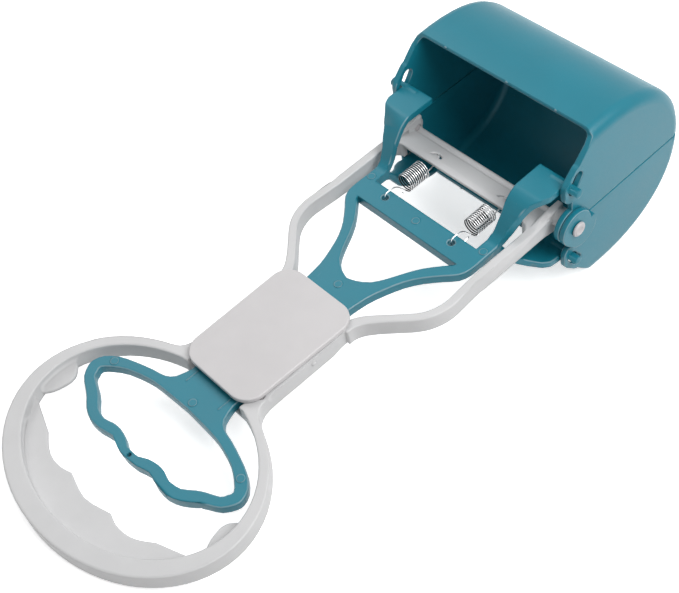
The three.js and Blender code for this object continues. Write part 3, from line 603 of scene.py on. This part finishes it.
def round_edges(bm, edges, radius, segments):
    """Rounds those edges and marks the middle of each round, where the finish is rubbed and painted paler as
    a highlight.
    """
    bm.verts.layers.float.new(EDGE_WEAR_AND_HIGHLIGHT)
    done = bevel(bm, edges, radius, segments)
    rounds = set(done["faces"])
    mark_wear_and_highlight(bm, [vert for vert in done["verts"]
             if vert.is_valid and all(face in rounds for face in vert.link_faces)])


def cad_copy(node):
    """A bmesh of a CAD node, with its loose triangles merged and its flats made whole."""
    bm = bmesh.new()
    bm.from_mesh(frame["nodes"][node].data)
    bmesh.ops.remove_doubles(bm, verts=bm.verts, dist=CAD_MERGE)
    bmesh.ops.dissolve_degenerate(bm, edges=bm.edges, dist=CAD_SLIVER)
    bmesh.ops.dissolve_limit(bm, angle_limit=FLAT_UNDER, verts=bm.verts, edges=bm.edges)
    return bm


def add_bmesh(bm, other):
    """Moves everything in another bmesh into this one."""
    mesh = bpy.data.meshes.new("part")
    other.to_mesh(mesh)
    other.free()
    bm.from_mesh(mesh)
    bpy.data.meshes.remove(mesh)


def add_block(bm, middle, size):
    """Adds a block round a middle."""
    verts = bmesh.ops.create_cube(bm, size=1)["verts"]
    bmesh.ops.scale(bm, vec=size, verts=verts)
    bmesh.ops.translate(bm, vec=middle, verts=verts)
    return verts


def add_post(bm, middle, radius, height):
    """Adds an upright round post round a middle."""
    verts = bmesh.ops.create_cone(bm, cap_ends=True, segments=POST_SEGMENTS, radius1=radius,
                                  radius2=radius, depth=height)["verts"]
    bmesh.ops.translate(bm, vec=middle, verts=verts)
    return verts


def add_nub(bm, middle, radius, flattening):
    """Adds a flattened ball round a middle."""
    verts = bmesh.ops.create_icosphere(bm, subdivisions=BALL_SUBDIVISIONS, radius=radius)["verts"]
    bmesh.ops.scale(bm, vec=flattening, verts=verts)
    bmesh.ops.translate(bm, vec=middle, verts=verts)
    return verts


def add_mark(bm, middle, height):
    """Adds the raised ring that an ejector pin leaves."""
    disc = add_post(bm, middle, MARK_RADIUS, 2 * height)
    # the ring's rim is painted paler, as wear and a painted highlight
    mark_wear_and_highlight(bm, disc)
    top = [face for face in {face for vert in disc for face in vert.link_faces}
           if face.normal.z > UPWARD]
    bmesh.ops.inset_region(bm, faces=top, thickness=MARK_RIM)
    bmesh.ops.translate(bm, verts=top[0].verts[:], vec=(0, 0, -MARK_HOLLOW * height))
    mark_wear_and_highlight(bm, top[0].verts, 0.0)


# ---- Settings ------------------------------------------------------------------------------------

def colour_setting(name, description, value):
    """A colour property."""
    return FloatVectorProperty(name=name, description=description, default=value, subtype="COLOR",
                               size=3, min=0, max=1)


def length_setting(name, description, value):
    """A length property, in metres."""
    return FloatProperty(name=name, description=description, default=value, subtype="DISTANCE",
                         unit="LENGTH", min=0)


class ScooperColours(bpy.types.PropertyGroup):
    """Colours of the mouldings and the stage."""

    handle: colour_setting("Handle", "Grey plastic of the handle frame", (0.555, 0.555, 0.56))
    cover: colour_setting("Cover", "Warm grey plastic of the cover plate", (0.545, 0.53, 0.535))
    teal: colour_setting("Trigger and jaws", "Teal plastic of the trigger and the jaws",
                         (0.007, 0.174, 0.238))
    pin: colour_setting("Hinge pins", "Pale plastic of the hinge pins", (0.49, 0.465, 0.475))
    spring: colour_setting("Springs", "Steel of the springs", (0.92, 0.92, 0.93))
    floor: colour_setting("Floor", "Floor of the studio", (0.93, 0.93, 0.93))


class ScooperSizes(bpy.types.PropertyGroup):
    """Sizes of the finish that the CAD model leaves plain."""

    frame_round: length_setting("Frame edges", "Radius of the handle frame's edges", 0.0006)
    trigger_round: length_setting("Trigger edges", "Radius of the trigger's edges", 0.0006)
    jaw_round: length_setting("Jaw lips", "Radius of the jaws' lips", 0.0004)
    cover_corner: length_setting("Cover corners", "Radius of the cover plate's corners", 0.0085)
    cover_round: length_setting("Cover edges", "Radius of the cover plate's edges", 0.0006)
    mark_height: length_setting("Ejector marks", "Height of the rings that ejector pins leave",
                                0.0002)
    pin_round: length_setting("Pin edges", "Radius of the hinge pins' edges", 0.00025)
    wire_radius: length_setting("Spring wire", "Radius of the springs' wire", 0.00028)
    spring_turns: IntProperty(name="Spring turns", description="Turns of each spring", default=11,
                              min=4, max=20)
    round_segments: IntProperty(name="Round segments",
                                description="Faces across each rounded edge", default=3, min=1,
                                max=6)


class ScooperSettings(bpy.types.PropertyGroup):
    """Everything that the panel shows."""

    colours: PointerProperty(type=ScooperColours)
    sizes: PointerProperty(type=ScooperSizes)


def settings():
    """The scene's settings."""
    return bpy.context.scene.pooper_scooper


# Plastics by slot: name, colour setting, roughness, grain, softness of the edges, gloss
PLASTICS = {
    "grey_plastic": ("Handle grey", "handle", 0.44, 0.3, 1.2 * MM, 0.5),
    "warm_grey_plastic": ("Cover grey", "cover", 0.52, 0.45, 0.5 * MM, 0.5),
    "teal_plastic": ("Teal", "teal", 0.36, 0.3, 0.9 * MM, 0.38),
    "pin_plastic": ("Pin", "pin", 0.4, 0.3, 0.4 * MM, 0.5),
}

FINISHES = {}


def finish(slot):
    """The material of a slot, made once."""
    if slot not in FINISHES:
        colours = settings().colours
        if slot in PLASTICS:
            name, colour, *looks = PLASTICS[slot]
            FINISHES[slot] = moulded_plastic(name, getattr(colours, colour), *looks)
        else:
            FINISHES[slot] = spring_wire("Spring steel", colours.spring)
    return FINISHES[slot]


# ---- Pieces --------------------------------------------------------------------------------------

def rounded_moulding(node, body, slot, radius, add_details):
    """A CAD moulding with its edges rounded and details added, which stands for its node."""
    bm = cad_copy(node)
    segments = settings().sizes.round_segments
    round_edges(bm, clear_edges(bm, sharp_edges(bm), radius, segments), radius, segments)
    details = bmesh.new()
    details.verts.layers.float.new(EDGE_WEAR_AND_HIGHLIGHT)
    add_details(details)
    bmesh.ops.transform(details, matrix=TOOL, verts=details.verts)
    add_bmesh(bm, details)
    add_piece(f"{node}_moulding", bm, body, slot, node)


def frame_details(bm):
    """The gate mark on the shank's side, painted faintly paler as wear and a painted highlight."""
    mark_wear_and_highlight(bm, add_nub(bm, GATE_PLACE, GATE_RADIUS, GATE_FLATTENING), FAINT)


class SCOOPER_OT_handle_frame(bpy.types.Operator):
    """Build the handle frame: hand ring, shank, arms, end plates and spring bar"""

    bl_idname = "scooper.handle_frame"
    bl_label = "Handle Frame"

    def execute(self, context):
        rounded_moulding("handle_frame", "frame", "grey_plastic", settings().sizes.frame_round,
                         frame_details)
        return {"FINISHED"}


class SCOOPER_OT_cover_plate(bpy.types.Operator):
    """Build the cover plate over the trigger's channel"""

    bl_idname = "scooper.cover_plate"
    bl_label = "Cover Plate"

    def execute(self, context):
        sizes = settings().sizes
        bm = bmesh.new()
        corners = [bm.verts.new((across, along, COVER_TOP)) for across, along in (
            (-COVER_REAR_HALF_WIDTH, COVER_REAR), (COVER_REAR_HALF_WIDTH, COVER_REAR),
            (COVER_FRONT_HALF_WIDTH, COVER_FRONT), (-COVER_FRONT_HALF_WIDTH, COVER_FRONT))]
        bm.faces.new(corners)
        bmesh.ops.bevel(bm, geom=corners, offset=sizes.cover_corner, offset_type="OFFSET",
                        affect="VERTICES", segments=CORNER_SEGMENTS, profile=0.5, material=-1)
        walls = bmesh.ops.extrude_face_region(bm, geom=bm.faces[:])
        low = [item for item in walls["geom"] if isinstance(item, bmesh.types.BMVert)]
        bmesh.ops.translate(bm, verts=low, vec=(0, 0, -COVER_THICKNESS))
        bmesh.ops.recalc_face_normals(bm, faces=bm.faces)
        round_edges(bm, sharp_edges(bm, COVER_ROUND_OVER), sizes.cover_round,
                    COVER_ROUND_SEGMENTS)

        rail_middle = (GUIDE_REAR + GUIDE_FRONT) / 2
        peg_middle = COVER_TOP - COVER_THICKNESS / 2 - PEG_LENGTH / 2
        for side in SIDES:
            add_block(bm, (side * RAIL_X, rail_middle, RAIL_BOTTOM + RAIL_HEIGHT / 2),
                      (RAIL_WIDTH, GUIDE_FRONT - GUIDE_REAR, RAIL_HEIGHT))
            for place in (GUIDE_REAR, GUIDE_FRONT):
                add_post(bm, (side * PEG_X, place, peg_middle), PEG_RADIUS, PEG_LENGTH)
        bmesh.ops.transform(bm, matrix=TOOL, verts=bm.verts)
        add_piece("cover_plate_moulding", bm, "frame", "warm_grey_plastic", "cover_plate")
        return {"FINISHED"}


def trigger_details(bm):
    """Ejector marks on both faces of the blade, and a witness line on each side of its neck."""
    height = settings().sizes.mark_height
    for across, along in TRIGGER_MARKS:
        add_mark(bm, (across, along, TRIGGER_TOP), height)
        add_post(bm, (across, along, -TRIGGER_TOP), MARK_RADIUS, 2 * height)
    for side in SIDES:
        line = add_block(bm, (side * WITNESS_X, WITNESS_Y, TRIGGER_TOP),
                         (WITNESS_WIDTH, WITNESS_LENGTH, 2 * height))
        # the witness line is painted faintly paler, as wear and a painted highlight
        mark_wear_and_highlight(bm, line, FAINT)


class SCOOPER_OT_trigger(bpy.types.Operator):
    """Build the trigger: finger loop, blade, fork, ribbons and side pins"""

    bl_idname = "scooper.trigger"
    bl_label = "Trigger"

    def execute(self, context):
        rounded_moulding("trigger", "trigger_body", "teal_plastic", settings().sizes.trigger_round,
                         trigger_details)
        return {"FINISHED"}


def lip_nubs(turn):
    """Makes the adder of the nubs on a jaw's lip, with that turn about the tool's length."""
    def add_details(bm):
        for place in NUB_PLACES:
            # the nubs are painted paler, as wear and a painted highlight
            mark_wear_and_highlight(bm, add_nub(bm, place, NUB_RADIUS, NUB_FLATTENING))
        bmesh.ops.rotate(bm, verts=bm.verts, cent=(0, 0, 0), matrix=Matrix.Rotation(turn, 3, "Y"))
    return add_details


class SCOOPER_OT_jaws(bpy.types.Operator):
    """Build the upper and the lower jaw"""

    bl_idname = "scooper.jaws"
    bl_label = "Jaws"

    def execute(self, context):
        for jaw, turn in (("upper_jaw", 0), ("lower_jaw", math.pi)):
            rounded_moulding(jaw, f"{jaw}_body", "teal_plastic", settings().sizes.jaw_round,
                             lip_nubs(turn))
        return {"FINISHED"}


def spring_path(turns):
    """Points along a spring from the coil's rear: the rear hook, the coil and the front hook."""
    length = COIL_FRONT - COIL_REAR
    steps = turns * TURN_STEPS
    path = [(0, along * REAR_HOOK_REACH, up * COIL_RADIUS) for along, up in REAR_HOOK_SHARES]
    for step in range(steps + 1):
        angle = math.tau * step / TURN_STEPS - math.pi / 2
        path.append((COIL_RADIUS * math.cos(angle), length * (step / steps),
                     COIL_RADIUS * math.sin(angle)))
    path += [(0, length + along * FRONT_HOOK_REACH, up * COIL_RADIUS)
             for along, up in FRONT_HOOK_SHARES]
    return path


def wire_bmesh(path, radius):
    """A bmesh of round wire that runs smoothly through the points of a path."""
    curve = bpy.data.curves.new("wire", "CURVE")
    curve.dimensions = "3D"
    curve.resolution_u = CURVE_STEPS
    curve.bevel_depth = radius
    curve.bevel_resolution = WIRE_OUTLINE_STEPS
    curve.use_fill_caps = True
    spline = curve.splines.new("BEZIER")
    spline.bezier_points.add(len(path) - 1)
    for point, place in zip(spline.bezier_points, path):
        point.co = place
        point.handle_left_type = point.handle_right_type = "AUTO"
    wire = bpy.data.objects.new("wire", curve)
    bm = bmesh.new()
    bm.from_mesh(wire.to_mesh())
    wire.to_mesh_clear()
    bpy.data.objects.remove(wire)
    bpy.data.curves.remove(curve)
    bmesh.ops.remove_doubles(bm, verts=bm.verts, dist=SEAM_MERGE)
    return bm


class SCOOPER_OT_springs(bpy.types.Operator):
    """Build the two tension springs, which stretch between the spring bar and the trigger"""

    bl_idname = "scooper.springs"
    bl_label = "Springs"

    def execute(self, context):
        sizes = settings().sizes
        for side, name in zip(SIDES, ("spring_left", "spring_right")):
            rear = Vector((side * SPRING_X, COIL_REAR, SPRING_Z))
            front = Vector((side * SPRING_X, COIL_FRONT, SPRING_Z))
            bm = wire_bmesh(spring_path(sizes.spring_turns), sizes.wire_radius)
            bmesh.ops.transform(bm, matrix=TOOL @ Matrix.Translation(rear), verts=bm.verts)
            piece = add_object(f"{name}_wire", bm, finish("spring_steel"))
            piece.data.shade_smooth()
            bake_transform(piece, "frame", "trigger_body", start=TOOL @ front, end=TOOL @ rear)
            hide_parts(name)
        return {"FINISHED"}


class SCOOPER_OT_hinge_pins(bpy.types.Operator):
    """Build the two hinge pins"""

    bl_idname = "scooper.hinge_pins"
    bl_label = "Hinge Pins"

    def execute(self, context):
        for turn, name in ((math.pi, "hinge_pin_left"), (0, "hinge_pin_right")):
            bm = bmesh.new()
            profile = [bm.verts.new((PIN_HEAD_X + along, 0, out)) for along, out in PIN_PROFILE]
            edges = [bm.edges.new(pair) for pair in zip(profile, profile[1:])]
            bmesh.ops.spin(bm, geom=profile + edges, cent=(0, 0, 0), axis=(1, 0, 0),
                           angle=math.tau, steps=PIN_STEPS, use_merge=True)
            bmesh.ops.remove_doubles(bm, verts=bm.verts, dist=SEAM_MERGE)
            bmesh.ops.recalc_face_normals(bm, faces=bm.faces)
            round_edges(bm, sharp_edges(bm), settings().sizes.pin_round, PIN_ROUND_SEGMENTS)
            bmesh.ops.rotate(bm, verts=bm.verts, cent=(0, 0, 0),
                             matrix=Matrix.Rotation(turn, 3, "Z"))
            bmesh.ops.transform(bm, matrix=TOOL, verts=bm.verts)
            add_piece(f"{name}_turned", bm, "frame", "pin_plastic", name)
        return {"FINISHED"}


def add_floor():
    """Adds the pale floor under the tool."""
    bm = bmesh.new()
    bmesh.ops.create_grid(bm, x_segments=1, y_segments=1, size=FLOOR_SIZE)
    floor = add_object("floor", bm, studio_floor("Floor", settings().colours.floor))
    floor.location.z = -FLOOR_DROP


def add_lamp(scene, name, place, size, power):
    """Adds a round soft lamp that shines at the tool."""
    lamp = bpy.data.lights.new(name, "AREA")
    lamp.shape = "DISK"
    lamp.size = size
    lamp.energy = power
    holder = bpy.data.objects.new(name, lamp)
    turn = Vector(place).to_track_quat("Z", "Y").to_matrix().to_4x4()
    holder.matrix_world = Matrix.Translation(place) @ turn
    scene.collection.objects.link(holder)


def add_camera(scene):
    """Adds the camera of the photograph."""
    camera = bpy.data.cameras.new("Camera")
    camera.lens = CAMERA_LENS
    camera.clip_start = CAMERA_CLIP_START
    holder = bpy.data.objects.new("Camera", camera)
    holder.matrix_world = (TOOL @ Matrix.Translation(CAMERA_TARGET)
                           @ Matrix.Rotation(CAMERA_AZIMUTH, 4, "Z")
                           @ Matrix.Rotation(math.pi / 2 - CAMERA_ELEVATION, 4, "X")
                           @ Matrix.Rotation(CAMERA_ROLL, 4, "Z")
                           @ Matrix.Translation(CAMERA_OFFSET))
    scene.collection.objects.link(holder)
    scene.camera = holder


class SCOOPER_OT_stage(bpy.types.Operator):
    """Set the floor, the soft lamps and the camera"""

    bl_idname = "scooper.stage"
    bl_label = "Stage"

    def execute(self, context):
        scene = context.scene
        scene.view_settings.view_transform = "Standard"
        add_floor()
        scene.world = studio_world("Studio")
        for lamp in LAMPS:
            add_lamp(scene, *lamp)
        add_camera(scene)
        return {"FINISHED"}


OPERATORS = (SCOOPER_OT_stage, SCOOPER_OT_handle_frame, SCOOPER_OT_cover_plate, SCOOPER_OT_trigger,
             SCOOPER_OT_jaws, SCOOPER_OT_springs, SCOOPER_OT_hinge_pins)


class SCOOPER_PT_build(bpy.types.Panel):
    """Lists the pieces and their settings"""

    bl_idname = "SCOOPER_PT_build"
    bl_label = "Pooper Scooper"
    bl_space_type = "VIEW_3D"
    bl_region_type = "UI"
    bl_category = "Scooper"

    def draw(self, context):
        for operator in OPERATORS:
            self.layout.operator(operator.bl_idname)
        for group in (settings().colours, settings().sizes):
            for key in group.bl_rna.properties.keys():
                if key not in ("rna_type", "name"):
                    self.layout.prop(group, key)


CLASSES = (ScooperColours, ScooperSizes, ScooperSettings, *OPERATORS, SCOOPER_PT_build)


def register():
    """Registers the settings, the operators and the panel."""
    for cls in CLASSES:
        bpy.utils.register_class(cls)
    bpy.types.Scene.pooper_scooper = PointerProperty(type=ScooperSettings)


def unregister():
    """Takes the settings, the operators and the panel away again."""
    del bpy.types.Scene.pooper_scooper
    for cls in reversed(CLASSES):
        bpy.utils.unregister_class(cls)


def main():
    """Builds the stage and every piece."""
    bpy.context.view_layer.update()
    register()
    for operator in OPERATORS:
        group, name = operator.bl_idname.split(".")
        getattr(getattr(bpy.ops, group), name)()


if __name__ == "__main__":
    main()
